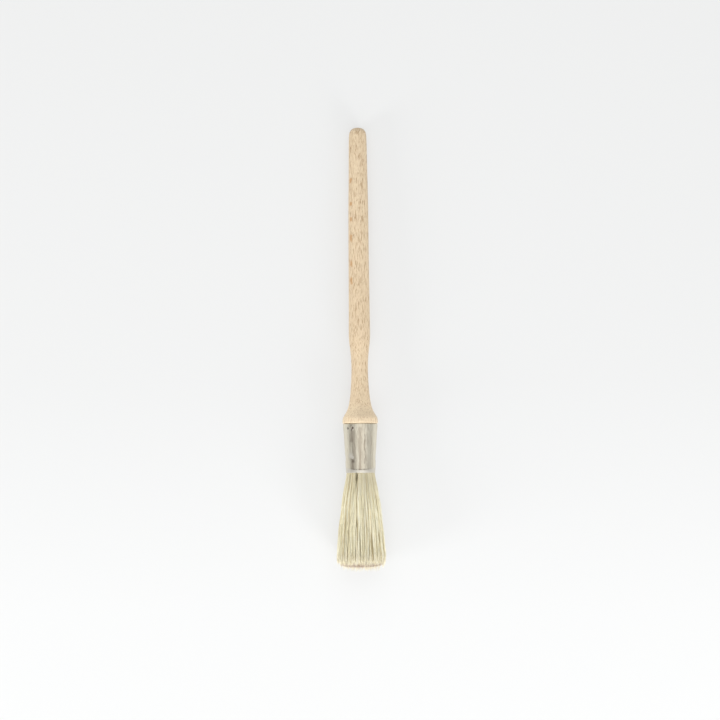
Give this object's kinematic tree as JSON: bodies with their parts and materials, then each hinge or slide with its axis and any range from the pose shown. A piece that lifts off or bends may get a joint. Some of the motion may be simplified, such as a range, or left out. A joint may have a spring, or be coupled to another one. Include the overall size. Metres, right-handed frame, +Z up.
{
  "type": "pastry brush",
  "caption": "Round pastry brush with a turned wooden handle, a tapered metal ferrule and a fanned tuft of pale natural bristles, lying on its side.",
  "frame": {"origin": "on the table, under the centre of the whole brush's bounding box", "axes": "+Y along the brush towards the handle's butt, -Y towards the bristle tips, +Z up from the table that the brush lies on, +X across it"},
  "size_m": [0.028, 0.251, 0.0271],
  "materials": {
    "wood": "unlacquered sanded beech",
    "ferrule": "tinned steel with fine drawn streaks",
    "resin": "hard setting resin",
    "bristle": "pale natural bristle"
  },
  "bodies": {
    "brush": {"handle": "wood", "ferrule": "ferrule", "resin_plug": "resin"},
    "tuft": {"lock_0_00": "bristle", "lock_1_00": "bristle", "lock_1_01": "bristle", "lock_1_02": "bristle", "lock_1_03": "bristle", "lock_1_04": "bristle", "lock_1_05": "bristle", "lock_2_00": "bristle", "lock_2_01": "bristle", "lock_2_02": "bristle", "lock_2_03": "bristle", "lock_2_04": "bristle", "lock_2_05": "bristle", "lock_2_06": "bristle", "lock_2_07": "bristle", "lock_2_08": "bristle", "lock_2_09": "bristle", "lock_2_10": "bristle", "lock_2_11": "bristle", "lock_3_00": "bristle", "lock_3_01": "bristle", "lock_3_02": "bristle", "lock_3_03": "bristle", "lock_3_04": "bristle", "lock_3_05": "bristle", "lock_3_06": "bristle", "lock_3_07": "bristle", "lock_3_08": "bristle", "lock_3_09": "bristle", "lock_3_10": "bristle", "lock_3_11": "bristle", "lock_3_12": "bristle", "lock_3_13": "bristle", "lock_3_14": "bristle", "lock_3_15": "bristle"}
  },
  "joints": [
    {"name": "tuft_flex", "type": "hinge", "parent": "brush", "child": "tuft", "pos_m": [0, -0.07171, 0.01145], "axis": [0, 0, 1], "range_deg": [-25, 25], "stiffness_Nm_per_rad": 0.2, "deforming": ["lock_0_00", "lock_1_00", "lock_1_01", "lock_1_02", "lock_1_03", "lock_1_04", "lock_1_05", "lock_2_00", "lock_2_01", "lock_2_02", "lock_2_03", "lock_2_04", "lock_2_05", "lock_2_06", "lock_2_07", "lock_2_08", "lock_2_09", "lock_2_10", "lock_2_11", "lock_3_00", "lock_3_01", "lock_3_02", "lock_3_03", "lock_3_04", "lock_3_05", "lock_3_06", "lock_3_07", "lock_3_08", "lock_3_09", "lock_3_10", "lock_3_11", "lock_3_12", "lock_3_13", "lock_3_14", "lock_3_15"]}
  ]
}
